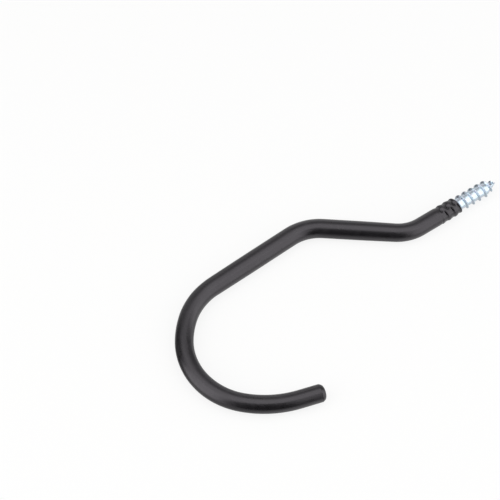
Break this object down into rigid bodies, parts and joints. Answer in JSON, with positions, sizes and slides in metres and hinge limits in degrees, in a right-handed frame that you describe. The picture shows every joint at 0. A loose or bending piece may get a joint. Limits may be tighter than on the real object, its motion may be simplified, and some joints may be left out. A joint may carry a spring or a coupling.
{
  "type": "bicycle storage hook",
  "caption": "Screw-in storage hook: a bent steel rod with a wood-screw thread and a wide open bowl, in a black vinyl sleeve that guards what hangs in it.",
  "frame": {"origin": "on the screw's axis, in the plane of the sleeve's open mouth, where the hook meets the wall", "axes": "+X along the screw, into the wall; the bends lie in the XY plane, with the bowl towards -X and -Y; +Z square to the bends, up as the hook lies on its side"},
  "size_m": [0.2114, 0.0989, 0.0104],
  "materials": {
    "zinc_plated_steel": "bright blue-white zinc plating on rolled steel",
    "black_vinyl": "satin soft vinyl"
  },
  "bodies": {
    "root": {"steel_rod": "zinc_plated_steel", "vinyl_sleeve": "black_vinyl"}
  },
  "joints": []
}
